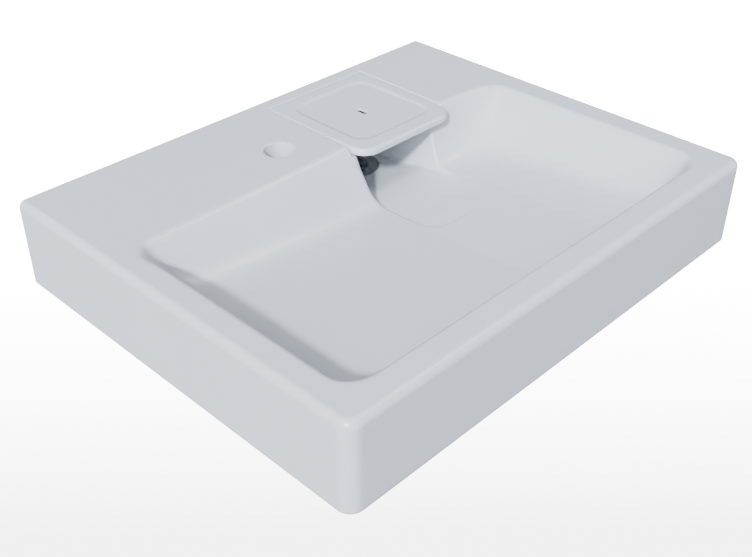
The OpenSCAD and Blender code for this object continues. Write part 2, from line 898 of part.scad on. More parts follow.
basin_body();
drain_cover();
cover_pads();
strainer_flange();
strainer_screw();
upper_seal();
lower_seal();
waste_body();
insert_nut();
union_nut();
union_seal();
trap_inlet();
head_nut();
head_seal();
trap_head();
cup_seal();
trap_cup();
outlet_nut();
outlet_seal();
outlet_pipe();
wall_rosette();
left_bracket();
right_bracket();
bracket_strips();
bracket_inserts();
bracket_bolts();
bracket_washers();
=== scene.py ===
import math

import bpy
import numpy as np
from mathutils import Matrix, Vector


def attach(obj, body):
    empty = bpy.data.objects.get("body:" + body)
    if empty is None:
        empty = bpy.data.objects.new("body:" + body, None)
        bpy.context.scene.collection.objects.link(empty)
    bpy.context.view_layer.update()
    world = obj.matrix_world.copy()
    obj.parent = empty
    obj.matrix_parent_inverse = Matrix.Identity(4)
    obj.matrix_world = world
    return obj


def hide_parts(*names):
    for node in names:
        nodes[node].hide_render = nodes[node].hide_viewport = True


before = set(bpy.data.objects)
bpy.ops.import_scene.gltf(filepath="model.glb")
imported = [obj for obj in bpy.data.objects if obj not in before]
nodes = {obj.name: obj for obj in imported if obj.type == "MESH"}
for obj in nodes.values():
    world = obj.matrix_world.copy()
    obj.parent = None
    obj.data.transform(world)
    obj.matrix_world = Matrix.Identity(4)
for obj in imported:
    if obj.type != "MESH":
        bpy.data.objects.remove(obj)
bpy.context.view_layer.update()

scene = bpy.context.scene


# Camera. It stands in front of the basin's left front corner and looks down on it, as in the
# photograph. Place, direction and lens come from the basin's straight edges in the picture.
sensor_mm = 36.0
picture_width, focal_pixels = 752, 1065.2
look_down, look_right = 0.6063, 0.7944
camera_lens = bpy.data.cameras.new("camera")
camera_lens.sensor_width = sensor_mm
camera_lens.lens = focal_pixels / picture_width * sensor_mm
camera = bpy.data.objects.new("camera", camera_lens)
camera.location = (-0.7106, -0.9124, 0.6018)
camera.rotation_euler = (math.pi / 2 - look_down, 0, -look_right)
scene.collection.objects.link(camera)
scene.camera = camera


# Studio light. One fairly small lamp stands on the left in front, a large soft one beside it fills
# its shadows, and two narrow ones high up draw bright lines along the rounded edges and corners.
# The room glows from above, so the deck is paler than the front.
def linear(colour):
    """sRGB hex colour to the linear values that the shaders take."""
    parts = np.array([int(colour[k:k + 2], 16) for k in (1, 3, 5)]) / 255
    low = parts / 12.92
    high = ((parts + 0.055) / 1.055) ** 2.4
    return tuple(np.where(parts <= 0.04045, low, high).tolist()) + (1.0,)


def add_node(tree, kind, settings=None, **links):
    """Adds a shader node. Settings are its attributes or inputs, or the stops of a colour ramp as
    (place, sRGB hex) pairs, and links name what feeds an input."""
    made = tree.nodes.new(kind)
    for key, value in (settings or {}).items():
        if key == "stops":
            for stop, (at, colour) in zip(made.color_ramp.elements, value):
                stop.position = at
                stop.color = linear(colour)
        elif isinstance(key, int) or key in made.inputs:
            made.inputs[key].default_value = value
        else:
            setattr(made, key, value)
    for key, source in links.items():
        target = int(key[1:]) if key[0] == "_" else key.replace("_", " ")
        tree.links.new(source, made.inputs[target])
    return made


# A lamp is (name, strength, apparent size in degrees, direction in which its light travels).
daylight = "#EBF3FF"
lamps = [
    ("key_lamp", 6.6, 5, (1.4, 0.8, -1.1)),
    ("soft_box", 3.2, 60, (0.8, 0.36, -0.36)),
    ("edge_lamp", 1.0, 9, (-0.55, 0.2, -0.81)),
    ("top_lamp", 0.6, 8, (0.39, 0.23, -0.87))]
for lamp_name, strength, apparent_size, travel in lamps:
    lamp = bpy.data.lights.new(lamp_name, "SUN")
    lamp.energy = strength
    lamp.color = linear(daylight)[:3]
    lamp.angle = math.radians(apparent_size)
    lamp_holder = bpy.data.objects.new(lamp_name, lamp)
    lamp_holder.rotation_euler = Vector(travel).to_track_quat("-Z", "Y").to_euler()
    scene.collection.objects.link(lamp_holder)

# The room glows twice as strongly overhead as at the height of the eye. The camera sees white instead.
glow_low, glow_high = 0.24, 0.48
white_near, white_far = 5.6, 24.0
room = bpy.data.worlds.new("room")
room.use_nodes = True
room.node_tree.nodes.clear()
heading = add_node(room.node_tree, "ShaderNodeTexCoord")
split = add_node(room.node_tree, "ShaderNodeSeparateXYZ", Vector=heading.outputs["Generated"])
height = add_node(room.node_tree, "ShaderNodeMapRange",
                  {"From Min": 0.0, "From Max": 1.0, "To Min": glow_low, "To Max": glow_high},
                  Value=split.outputs["Z"])
glow = add_node(room.node_tree, "ShaderNodeBackground", {"Color": linear(daylight)},
                Strength=height.outputs["Result"])
backdrop = add_node(room.node_tree, "ShaderNodeBackground",
                    {"Color": linear("#FFFFFF"), "Strength": white_near})
seen = add_node(room.node_tree, "ShaderNodeLightPath")
sky = add_node(room.node_tree, "ShaderNodeMixShader", _0=seen.outputs["Is Camera Ray"],
               _1=glow.outputs["Background"], _2=backdrop.outputs["Background"])
add_node(room.node_tree, "ShaderNodeOutputWorld", Surface=sky.outputs["Shader"])
scene.world = room


# Floor. Plain pale paper far below the basin. The camera sees it burnt out to white, paler further
# off, as in a catalogue picture, but it throws only a little light back. From below it is clear, so
# the underside can be looked at. It is no part of the object.
floor_drop, floor_reach, floor_lines = 0.9, 30.0, 9
floor_mark = np.linspace(-floor_reach, floor_reach, floor_lines)
floor_x, floor_y = np.meshgrid(floor_mark, floor_mark, indexing="ij")
floor_points = np.stack([floor_x, floor_y, np.full_like(floor_x, -floor_drop)], axis=-1)
floor_ids = np.arange(floor_lines ** 2).reshape(floor_lines, floor_lines)
floor_faces = np.stack([floor_ids[:-1, :-1], floor_ids[1:, :-1], floor_ids[1:, 1:],
                        floor_ids[:-1, 1:]], axis=-1)
floor_mesh = bpy.data.meshes.new("floor")
floor_mesh.from_pydata(floor_points.reshape(-1, 3).tolist(), [], floor_faces.reshape(-1, 4).tolist())
studio_floor = bpy.data.objects.new("floor", floor_mesh)
scene.collection.objects.link(studio_floor)


def start_material(name):
    """An empty node material. Gives the material, its tree and the object coordinates in metres."""
    made = bpy.data.materials.new(name)
    made.use_nodes = True
    made.node_tree.nodes.clear()
    return made, made.node_tree, add_node(made.node_tree, "ShaderNodeTexCoord").outputs["Object"]


# Paper: the glow rises in a straight ramp from 0.2 m to 1.6 m along the floor's diagonal, which is
# the way in which the camera looks.
paper, tree, place = start_material("backlit_paper")
paper_turn = add_node(tree, "ShaderNodeMapping", {"Rotation": (0, 0, math.radians(45))}, Vector=place)
paper_way = add_node(tree, "ShaderNodeSeparateXYZ", Vector=paper_turn.outputs["Vector"])
paper_tone = add_node(tree, "ShaderNodeMapRange",
                      {"From Min": 0.2, "From Max": 1.6, "To Min": white_near, "To Max": white_far},
                      Value=paper_way.outputs["Y"])
paper_glow = add_node(tree, "ShaderNodeEmission", {"Color": linear("#FFFFFF")},
                      Strength=paper_tone.outputs["Result"])
paper_face = add_node(tree, "ShaderNodeBsdfDiffuse", {"Color": linear("#8E8E8E")})
paper_seen = add_node(tree, "ShaderNodeLightPath")
paper_both = add_node(tree, "ShaderNodeMixShader", _0=paper_seen.outputs["Is Camera Ray"],
                      _1=paper_face.outputs["BSDF"], _2=paper_glow.outputs["Emission"])
paper_side = add_node(tree, "ShaderNodeNewGeometry")
paper_clear = add_node(tree, "ShaderNodeBsdfTransparent")
paper_all = add_node(tree, "ShaderNodeMixShader", _0=paper_side.outputs["Backfacing"],
                     _1=paper_both.outputs["Shader"], _2=paper_clear.outputs["BSDF"])
add_node(tree, "ShaderNodeOutputMaterial", Surface=paper_all.outputs["Shader"])
floor_mesh.materials.append(paper)


# Basin body. Cast marble: stone flour in polyester resin, poured into a mould that was sprayed
# with white gel coat. It is one hollow shell with deck, bowl, well and the seat of the cover.
# It hangs on two brackets under its cast ribs. Lengths in this and the next sections are in mm.
half_width, depth, border = 300.0, 480.0, 15.0
deck_z = 50.0
base_z = -50.0
wall = 12.0
outer_round = 8.0
bowl_left, bowl_right, bowl_front, bowl_back, bowl_depth = -267.0, 264.0, -446.0, -154.5, 60.0
left_slope, front_slope, floor_slope = 2.2, 3.0, 0.05
flat_right, flat_front = 149.5, -208.0
seat_z = 39.7
seat_left, seat_right, seat_front, seat_back, seat_round = 17.5, 171.5, -180.0, -18.0, 1.3
well_left, well_back, well_front, well_floor = 24.5, -34.0, -279.0, -26.0
well_right, scoop_right = 161.0, 139.0
well_corner, scoop_corner = 12.0, 27.0
ramp_start, ramp_slope = -120.0, 0.21
scoop_start, scoop_z, scoop_slope = -173.0, -15.4, 0.048
lean_foot_x, lean_foot_z, well_lean = 137.0, -10.0, 0.21
seat_lip, bowl_lip, foot_round = 2.0, 8.0, 10.0
drain_x, drain_y, drain_r, recess_r, recess_z = 87.0, -84.0, 25.0, 36.0, -29.2
tap_x, tap_y, tap_r, tap_round, boss_r, boss_z = -40.0, -105.0, 17.5, 1.2, 27.0, 25.0
rib_x, rib_half, rib_front, pocket_r, pocket_top = 170.0, 13.0, -370.0, 6.0, -30.0
pocket_ys = (-60.0, -335.0)
far = 999.0


def soft_min(a, b, k):
    """The smaller of a and b; where they differ by less than k the corner is rounded by a parabola."""
    return np.minimum(a, b) - np.maximum(k - np.abs(a - b), 0) ** 2 / (4 * k)


def soft_max(a, b, k):
    """The larger of a and b, rounded in the same way."""
    return -soft_min(-a, -b, k)


def ease(t):
    """0 below 0 and 1 above 1, with the S curve 3t^2 - 2t^3 between. A change written as
    ease((start - y) / run) begins at y = start and is complete run mm further to the front."""
    t = np.clip(t, 0, 1)
    return t * t * (3 - 2 * t)


def quarter(t):
    """How far a rounded edge falls, as a share of its radius, at t radii from its low side:
    1 - sqrt(1 - (1 - t)^2), which is 1 at t = 0 and 0 from t = 1 on."""
    return 1 - np.sqrt(1 - np.clip(1 - t, 0, 1) ** 2)


def bowl_drop(x, y, g):
    """Depth of the bowl under the deck for a surface moved outwards by g: four leaning walls and
    the floor, each depth = slope * distance from its outline, joined by soft minima. The back wall
    grows steeper to the right and the right wall to the front. The corner width k goes from 34 at
    the back left to 70 at the back right and 76 at the front."""
    run = np.clip((x - bowl_left) / (well_left - bowl_left), 0, 1)
    back_slope = 1.15 + 0.45 * run ** 2 + 0.8 * np.clip((x - well_left) / 125, 0, 1.3)
    right_slope = 0.7 + 1.5 * np.clip((-148 - y) / 299, 0, 1)
    left = left_slope * (x - bowl_left + g)
    right = right_slope * (bowl_right + g - x)
    front = front_slope * (y - bowl_front + g)
    back = back_slope * (bowl_back + g - y)
    beside = np.maximum(np.maximum(well_left - x, x - flat_right), 0)
    rise = floor_slope * (beside + np.maximum(flat_front - y, 0) / 2)
    corner_left, corner_right, corner_front = 34, 70, 76
    forward = ease((-200 - y) / 150)
    k = (corner_left + (corner_right - corner_left) * ease(x / 200)) * (1 - forward) + corner_front * forward
    sides = soft_min(soft_min(left, right, 30.0), soft_min(front, back, 30.0), k)
    return soft_min(sides, bowl_depth + g - rise, 26.0)


def outside(x, y, left, right, front, back, r):
    """Distance outside a rectangle whose corners are rounded by r: the distance from the rectangle
    that is smaller by r all round, less r. Inside it is negative."""
    out_x = np.abs(x - (left + right) / 2) - (right - left) / 2 + r
    out_y = np.abs(y - (front + back) / 2) - (back - front) / 2 + r
    return np.hypot(np.maximum(out_x, 0), np.maximum(out_y, 0)) + np.minimum(np.maximum(out_x, out_y), 0) - r


def well_outline(x, y):
    """Distance outside the well's outline in plan: a rectangle with smaller rounded corners at the
    back than at the front of the scoop, whose right side moves in towards the front."""
    right = scoop_right + (well_right - scoop_right) * ease((y + 215) / 50)
    r = np.where(y < -150, scoop_corner, well_corner)
    return outside(x, y, well_left, right, well_front, well_back, r)


def well_surface(x, y, g):
    """Floor of the well and scoop, moved out by g: flat by the drain, then a ramp, then the flatter
    scoop, and on the right the leaning wall, which lies down in the scoop. Each is height = slope *
    distance from its foot, and they are joined by soft minima and maxima."""
    ramp = soft_max(well_floor + 0 * y, well_floor + ramp_slope * (ramp_start - y), 4.0)
    scoop = scoop_z + scoop_slope * (scoop_start - y)
    lean = lean_foot_z + (x - g - lean_foot_x) / (well_lean + 2.4 * ease((-196 - y) / 50))
    return soft_max(soft_min(ramp, scoop, 4.0) - g, lean, 14.0)


def basin_top(x, y):
    """Upper surface of the casting at plan points (x, y): the deck less the bowl, then lowered to the
    seat, the well, the recess and the tap hole's edge in turn."""
    drop = bowl_drop(x, y, 0)
    # The rim is rounded with 8 mm at the back and 4 mm elsewhere: k is the width of the parabola.
    slope = np.hypot(bowl_drop(x + 0.5, y, 0) - bowl_drop(x - 0.5, y, 0),
                     bowl_drop(x, y + 0.5, 0) - bowl_drop(x, y - 0.5, 0))
    rim_r = 4 + 4 * ease((y + 200) / 25)
    k = np.clip(rim_r / 2 * slope ** 2, 1.5, 14)
    z = deck_z - np.where(np.abs(drop) < k, (drop + k) ** 2 / (4 * k), np.maximum(drop, 0))
    # Seat of the cover, open to the bowl, with a small rounding along its upper edge
    out_x = np.maximum(seat_left - x, x - seat_right)
    out_y = np.maximum(y - seat_back, -250 - y)
    out = np.where((out_x > 0) & (out_y > 0), np.hypot(out_x, out_y), np.maximum(out_x, out_y))
    rounding = np.minimum(seat_round, np.maximum(z - seat_z, 0) / 2) * quarter(out / seat_round)
    z = np.where(out < 0, np.minimum(z, seat_z), z - rounding)
    # Well and scoop. The upper edge is rounded with 8 mm in the bowl and 2 mm on the seat.
    out = well_outline(x, y)
    low = soft_min(z, well_surface(x, y, 0), 0.5 + 5.5 * ease((y + 262) / 30))
    # Towards the front right the scoop runs out into the floor of the bowl.
    fall = np.maximum(z - low, 0) * (1 - ease((x - 40) / 50) * ease((-232 - y) / 42))
    low = z - fall
    edge = np.minimum(seat_lip + (bowl_lip - seat_lip) * ease((-156 - y) / 12), 0.45 * fall)
    foot = np.minimum(foot_round, 0.45 * fall)
    above = z - edge * quarter(out / np.maximum(edge, 2.5))
    below = low + foot * quarter(-out / np.maximum(foot, 2.5))
    z = np.where(out < 0, below, above)
    # Recess and tap hole
    z = np.where(np.hypot(x - drain_x, y - drain_y) < recess_r, recess_z, z)
    return z - tap_round * quarter((np.hypot(x - tap_x, y - tap_y) - tap_r) / tap_round)


def basin_under(x, y):
    """Lower surface of the casting: 12 mm under the upper one, with two ribs that take the brackets
    and a boss that thickens the deck round the tap hole."""
    z = np.minimum(deck_z - wall, deck_z - bowl_drop(x, y, wall))
    seat = (x > seat_left - wall) & (x < seat_right + wall) & (y > seat_front - wall)
    z = np.where(seat, np.minimum(z, seat_z - wall), z)
    z = np.where(well_outline(x, y) < wall, np.minimum(z, well_surface(x, y, wall)), z)
    z = np.where(np.hypot(x - tap_x, y - tap_y) < boss_r, boss_z, z)
    across = np.abs(np.abs(x) - rib_x)
    z = np.where((across < rib_half) & (y > rib_front), base_z, z)
    for back in pocket_ys:
        z = np.where(np.hypot(across, y - back) < pocket_r, pocket_top, z)
    return z


def round_off(x, y, core, r, fade):
    """Bends grid lines so that the square rings round the core rectangle become round ones. The
    bend is full up to r outside the core and has faded out at fade."""
    x0, x1, y0, y1 = core
    out_x = np.minimum(x - x0, 0) + np.maximum(x - x1, 0)
    out_y = np.minimum(y - y0, 0) + np.maximum(y - y1, 0)
    ring = np.maximum(np.abs(out_x), np.abs(out_y))
    reach = np.maximum(np.hypot(out_x, out_y), 1e-9)
    pull = (ring / reach - 1) * ease((fade - ring) / (fade - r))
    return x + out_x * pull, y + out_y * pull


def grid_lines(zones, stops, end):
    """Grid lines through every stop. A zone is (start, spacing): between two stops the lines stand
    evenly and no further apart than the spacing of their zone."""
    starts = np.array([zone[0] for zone in zones])
    marks = np.unique(np.round(np.concatenate([starts, stops, [end]]), 3))
    parts = []
    for a, b in zip(marks[:-1], marks[1:]):
        spacing = zones[np.searchsorted(starts, (a + b) / 2) - 1][1]
        parts.append(np.linspace(a, b, max(1, math.ceil((b - a) / spacing)) + 1)[:-1])
    return np.append(np.concatenate(parts), end)


def rim_path(nx, ny, fan):
    """The way round the grid's border, anticlockwise from the front left: grid indices, and the
    direction in which each point moves outwards. Front corners are fans, back corners are mitred."""
    turn = np.radians(90 * np.arange(1, fan) / fan)
    right, back = nx - 1, ny - 1
    legs = [
        (np.arange(nx), 0, 0, -1, 0),
        (right + 0 * turn, 0, np.sin(turn), -np.cos(turn), 0),
        (right, np.arange(ny), 1, 0, 0),
        (right, np.array([back]), 1, 0, 1),
        (np.arange(nx)[::-1], back, 0, 0, 1),
        (0, np.array([back]), -1, 0, 1),
        (0, np.arange(ny)[::-1], -1, 0, 0),
        (0 * turn, 0, -np.cos(turn), -np.sin(turn), 0)]
    rows = [np.broadcast_arrays(*leg) for leg in legs]
    i, j, out_x, out_y, out_back = (np.concatenate([row[k] for row in rows]) for k in range(5))
    return i.astype(int), j.astype(int), out_x.astype(float), out_y.astype(float), out_back.astype(float)


def shell_object(name, xs, ys, upper, lower, rings, holes, fan):
    """Closed shell: an upper and a lower height sheet on one grid, joined round the border by rings
    (distance out, distance out at the back, height) and through each hole by a bore."""
    gx, gy = np.meshgrid(xs, ys, indexing="ij")
    nx, ny = gx.shape
    sheets = [np.stack(np.broadcast_arrays(*sheet(gx, gy)), axis=-1).reshape(-1, 3)
              for sheet in (upper, lower)]
    i, j, out_x, out_y, out_back = rim_path(nx, ny, fan)
    ids_up = np.arange(nx * ny).reshape(nx, ny)
    ids_down = ids_up + nx * ny
    points = list(sheets)
    hoops = [ids_up[i, j]]
    for n, (out, back, z) in enumerate(rings):
        x = gx[i, j] + out * out_x
        y = gy[i, j] + out * out_y + back * out_back
        points.append(np.stack(np.broadcast_arrays(x, y, z(x, y) if callable(z) else z), axis=-1))
        hoops.append(2 * nx * ny + n * len(i) + np.arange(len(i)))
    hoops.append(ids_down[i, j])

    def quads(a, b, c, d):
        """Four-cornered faces from four equally long rows of corners."""
        return np.stack([a, b, c, d], axis=-1).reshape(-1, 4)

    open_cells = np.zeros((nx - 1, ny - 1), bool)
    faces = []
    for x0, x1, y0, y1 in holes:
        a, b = np.abs(xs - x0).argmin(), np.abs(xs - x1).argmin()
        c, d = np.abs(ys - y0).argmin(), np.abs(ys - y1).argmin()
        open_cells[a:b, c:d] = True
        loop_i = np.concatenate([np.arange(a, b), np.full(d - c, b), np.arange(b, a, -1), np.full(d - c, a)])
        loop_j = np.concatenate([np.full(b - a, c), np.arange(c, d), np.full(b - a, d), np.arange(d, c, -1)])
        high, deep = ids_up[loop_i, loop_j], ids_down[loop_i, loop_j]
        faces.append(quads(high, np.roll(high, -1), np.roll(deep, -1), deep))
    for ids, step in ((ids_up, 1), (ids_down, -1)):
        cells = np.stack([ids[:-1, :-1], ids[1:, :-1], ids[1:, 1:], ids[:-1, 1:]], axis=-1)
        faces.append(cells[~open_cells][:, ::step])
    for inner, outer in zip(hoops[:-1], hoops[1:]):
        faces.append(quads(inner, outer, np.roll(outer, -1), np.roll(inner, -1)))
    faces = np.concatenate(faces)
    # A fan starts at one point, so its first cells have a corner twice and become triangles.
    first = faces[:, 0] == faces[:, 3]
    second = faces[:, 1] == faces[:, 2]
    listed = faces[~first & ~second].tolist() + faces[first][:, :3].tolist()
    listed += faces[second][:, [0, 1, 3]].tolist()
    mesh = bpy.data.meshes.new(name)
    mesh.from_pydata((np.concatenate(points) * 0.001).tolist(), [], listed)
    mesh.shade_smooth()
    mesh.set_sharp_from_angle(angle=math.radians(40))
    made = bpy.data.objects.new(name, mesh)
    scene.collection.objects.link(made)
    return made


def pair(*values):
    """Two lines 0.02 mm apart at each sharp wall, so that the wall stands upright."""
    return np.concatenate([[v - 0.01, v + 0.01] for v in values])


# Distances of the lines across a rounded edge, as shares of its radius. Zones are (start, spacing).
rounded = np.array([0.02, 0.08, 0.18, 0.33, 0.52, 0.75, 1.0])
few = np.array([0.06, 0.25, 0.55, 1.0])
basin_x = grid_lines(
    [(border - half_width, 6), (-277, 1.9), (-256, 4), (-225, 8), (-72, 5), (-62, 4), (-18, 6), (35, 1.9),
     (58, 4), (112, 2.2), (126, 1.4), (156, 3), (184, 6), (238, 3), (249, 1.9), (273, 4)],
    np.concatenate([
        pair(well_left, seat_left, seat_right, seat_left - wall, seat_right + wall, well_left - wall),
        pair(drain_x - recess_r, drain_x + recess_r, tap_x - boss_r, tap_x + boss_r),
        np.concatenate([pair(side * (rib_x + d)) for side in (-1, 1)
                        for d in (-rib_half, -pocket_r, pocket_r, rib_half)]),
        [drain_x - drain_r, drain_x + drain_r, tap_x - tap_r, tap_x + tap_r],
        tap_x - tap_r - tap_round * few, tap_x + tap_r + tap_round * few,
        seat_left - seat_round * few, seat_right + seat_round * few,
        well_left - bowl_lip * rounded[1:], well_left + foot_round * rounded]), half_width - border)
basin_y = grid_lines(
    [(border - depth, 6), (-458, 1.8), (-434, 3.6), (-402, 8), (-290, 2.1), (-246, 3.6), (-212, 2.6),
     (-172, 1.8), (-138, 4), (-60, 3), (-34, 5)],
    np.concatenate([
        pair(well_back, seat_back, well_front, well_back + wall, rib_front),
        pair(drain_y - recess_r, drain_y + recess_r, tap_y - boss_r, tap_y + boss_r),
        np.concatenate([pair(back - pocket_r, back + pocket_r) for back in pocket_ys]),
        [drain_y - drain_r, drain_y + drain_r, tap_y - tap_r, tap_y + tap_r],
        tap_y - tap_r - tap_round * few, tap_y + tap_r + tap_round * few,
        seat_back + seat_round * few, well_back + seat_lip * few, well_back - foot_round * rounded,
        well_front - 2.5 * few, well_front + 2.5 * few]), -border)


def basin_upper(x, y):
    """Upper sheet: the grid bent round the tap hole, drain and well corners, at its height. A bend is
    its core rectangle, the distance up to which it is full, and the one at which it has faded out.
    A core that reaches to far has no corner on that side."""
    for core, r, fade in (((tap_x, tap_x, tap_y, tap_y), tap_r + 1.3, 28),
                          ((drain_x, drain_x, drain_y, drain_y), recess_r + 0.1, 44),
                          ((well_left + well_corner, far, -far, well_back - well_corner), 14, 17),
                          ((well_left + scoop_corner, 110, well_front + scoop_corner, far), 30, 42)):
        x, y = round_off(x, y, core, r, fade)
    return x, y, basin_top(x, y)


def basin_lower(x, y):
    """Lower sheet: the same grid, bent round the holes, the pockets of the inserts and the well's
    back left corner."""
    bends = [((tap_x, tap_x, tap_y, tap_y), boss_r + 0.1, 40),
             ((drain_x, drain_x, drain_y, drain_y), recess_r, 44)]
    bends += [((side * rib_x, side * rib_x, back, back), pocket_r + 0.1, 11)
              for side in (-1, 1) for back in pocket_ys]
    bends += [((well_left + well_corner, far, -far, well_back - well_corner), wall + well_corner + 0.1, 28)]
    for core, r, fade in bends:
        x, y = round_off(x, y, core, r, fade)
    return x, y, basin_under(x, y)


# Rings from the deck's border over the rounded outer edge, down the sides and in under the skirt,
# whose lower edge is broken by 1 mm
quarter_turn = np.radians(np.linspace(0, 90, 9))
basin_fan = 12
basin_rings = [(3, 7, deck_z), (6.5, border, deck_z)]
basin_rings += [(border - outer_round + outer_round * math.sin(a), border,
                 deck_z - outer_round * (1 - math.cos(a))) for a in quarter_turn]
basin_rings += [(border, border, z) for z in (41, 0, -46, base_z + 1)]
basin_rings += [(border - 0.3, border - 0.3, base_z + 0.3)]
basin_rings += [(out, out, base_z) for out in (border - 1, border - 2, border - wall)]
basin_rings += [(border - wall, border - wall, basin_under)]
basin = shell_object("basin_body_cast", basin_x, basin_y, basin_upper, basin_lower, basin_rings,
                     [(drain_x - drain_r, drain_x + drain_r, drain_y - drain_r, drain_y + drain_r),
                      (tap_x - tap_r, tap_x + tap_r, tap_y - tap_r, tap_y + tap_r)], basin_fan)

# Sprayed gel coat: a quiet white that varies a little over a hand's breadth, satin, with the faint
# waviness of a mould that was polished by hand and pores too small to see singly.
gel_coat, tree, place = start_material("sprayed_gel_coat_on_cast_marble")
# Cloud size about 90 mm: noise scale is 1 over the size in metres.
cloud = add_node(tree, "ShaderNodeTexNoise", {"Scale": 1 / 0.09, "Detail": 3.0}, Vector=place)
tone = add_node(tree, "ShaderNodeValToRGB", {"stops": ((0.0, "#C9CBCE"), (1.0, "#CED0D3"))},
                Fac=cloud.outputs["Fac"])
# Wipe marks about 25 mm long show as small changes of gloss.
wipe = add_node(tree, "ShaderNodeTexNoise", {"Scale": 1 / 0.025, "Detail": 4.0}, Vector=place)
gloss = add_node(tree, "ShaderNodeMapRange", {"To Min": 0.27, "To Max": 0.35}, Value=wipe.outputs["Fac"])
# Waviness about 14 mm across and pores 0.8 mm apart, both only a few thousandths of a mm high.
wave = add_node(tree, "ShaderNodeTexNoise", {"Scale": 1 / 0.014, "Detail": 1.0}, Vector=place)
pores = add_node(tree, "ShaderNodeTexNoise", {"Scale": 1 / 0.0008, "Detail": 0.0}, Vector=place)
wavy = add_node(tree, "ShaderNodeBump", {"Strength": 0.25, "Distance": 0.00002}, Height=wave.outputs["Fac"])
skin = add_node(tree, "ShaderNodeBump", {"Strength": 0.2, "Distance": 0.000005},
                Height=pores.outputs["Fac"], Normal=wavy.outputs["Normal"])
stone = add_node(tree, "ShaderNodeBsdfPrincipled", {"IOR": 1.5},
                 Base_Color=tone.outputs["Color"], Roughness=gloss.outputs["Result"],
                 Normal=skin.outputs["Normal"])
add_node(tree, "ShaderNodeOutputMaterial", Surface=stone.outputs["BSDF"])
basin.data.materials.append(gel_coat)
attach(basin, "basin")
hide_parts("basin_body")


# Drain cover. A flat lid of the same cast marble that lies loose in its seat and hides the drain.
# Its panel is dished a little, its front edge is rolled, and a finger slot lets it be lifted.
cover_left, cover_right, cover_front, cover_back = 19.5, 169.5, -178.0, -20.0
cover_low, cover_corner = 42.0, 22.0
panel_left, panel_right, panel_front, panel_back, panel_corner = 37.0, 154.0, -157.0, -36.0, 20.0
panel_deep, panel_edge = 1.5, 6.0
slot_x, slot_y, slot_half, slot_core, slot_round = 94.5, -99.0, 3.0, 5.0, 1.5
edge_round, roll_round = 0.8, 3.5


def slot_distance(x, y):
    """Distance from the slot's middle line, which is 2 * slot_core long."""
    return np.hypot(x - slot_x, np.maximum(np.abs(y - slot_y) - slot_core, 0))


def cover_top(x, y):
    """Upper surface of the lid: a shallow panel with a soft edge inside a rounded rectangle, and the
    slot's rounded edge."""
    out = outside(x, y, panel_left, panel_right, panel_front, panel_back, panel_corner)
    z = deck_z - panel_deep * ease((2.0 - out) / panel_edge)
    return z - slot_round * quarter((slot_distance(x, y) - slot_half) / slot_round)


def cover_upper(x, y):
    """Upper sheet: the grid bent round the slot's ends, at its height."""
    x, y = round_off(x, y, (slot_x, slot_x, slot_y - slot_core, slot_y + slot_core), slot_half + 2.1, 10)
    return x, y, cover_top(x, y)


def cover_lower(x, y):
    """Lower sheet: flat, but hollowed by 4 mm within 9 mm of the slot, where the lid is only 2.5 mm
    thick."""
    x, y = round_off(x, y, (slot_x, slot_x, slot_y - slot_core, slot_y + slot_core), slot_half + 9, 16)
    out = slot_distance(x, y) - slot_half
    return x, y, cover_low + 4 * ease((9 - out) / 3)


cover_x = grid_lines([(cover_left + cover_corner, 1.6), (46, 3), (83, 1.2), (106, 3), (143, 1.6)],
                     np.concatenate([[slot_x - slot_half, slot_x + slot_half],
                                     slot_x - slot_half - 2 * rounded, slot_x + slot_half + 2 * rounded]),
                     cover_right - cover_corner)
cover_y = grid_lines([(cover_front + cover_corner, 1), (-148, 3), (-115, 1.2), (-83, 3), (-50, 1.6)],
                     np.concatenate([slot_y - slot_core - slot_half - 2 * rounded,
                                     slot_y + slot_core + slot_half + 2 * rounded,
                                     [slot_y - slot_core, slot_y + slot_core]]), cover_back - cover_corner)
# Rings over the panel's edge to the lid's border, which is rounded, and down and in underneath. The
# front edge is rolled, and the sides change to a small rounding towards the back.
cover_fan = 16
border_row = rim_path(len(cover_x), len(cover_y), cover_fan)[1]
roll = edge_round + (roll_round - edge_round) * ease((-110 - cover_y[border_row]) / 40)
cover_rings = [(a, a, cover_top) for a in (1.5, 3, 4.5, 6, 7.5, 9, 10.5, 12, 14, 16, 18)]
for a in quarter_turn:
    out = cover_corner - roll * (1 - math.sin(a))
    cover_rings.append((out, out, deck_z - roll * (1 - math.cos(a))))
cover_rings += [(cover_corner, cover_corner, z) for z in (46, 43.5, 42.8)]
cover_rings += [(21.8, 21.8, 42.2), (21.2, 21.2, cover_low), (20, 20, cover_low)]
lid = shell_object("drain_cover_cast", cover_x, cover_y, cover_upper, cover_lower, cover_rings,
                   [(slot_x - slot_half, slot_x + slot_half,
                     slot_y - slot_core - slot_half, slot_y + slot_core + slot_half)], cover_fan)
lid.data.materials.append(gel_coat)
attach(lid, "cover")
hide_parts("drain_cover")


# Cover pads. Four strips of clear-white silicone glued into the seat side of the lid, so that stone
# never rests on stone. Their mesh is the CAD model's.
def dress(material, *names):
    """Puts a material on nodes that keep their CAD mesh."""
    for name in names:
        for place_in_list in nodes[name].material_slots:
            place_in_list.material = material


# From here on a Bevel node makes sharp edges look broken by 0.6 mm, and a Map Range node spreads
# the middle half of a noise over a range of gloss.
broken = {"Radius": 0.0006}
middle = {"From Min": 0.25, "From Max": 0.75}

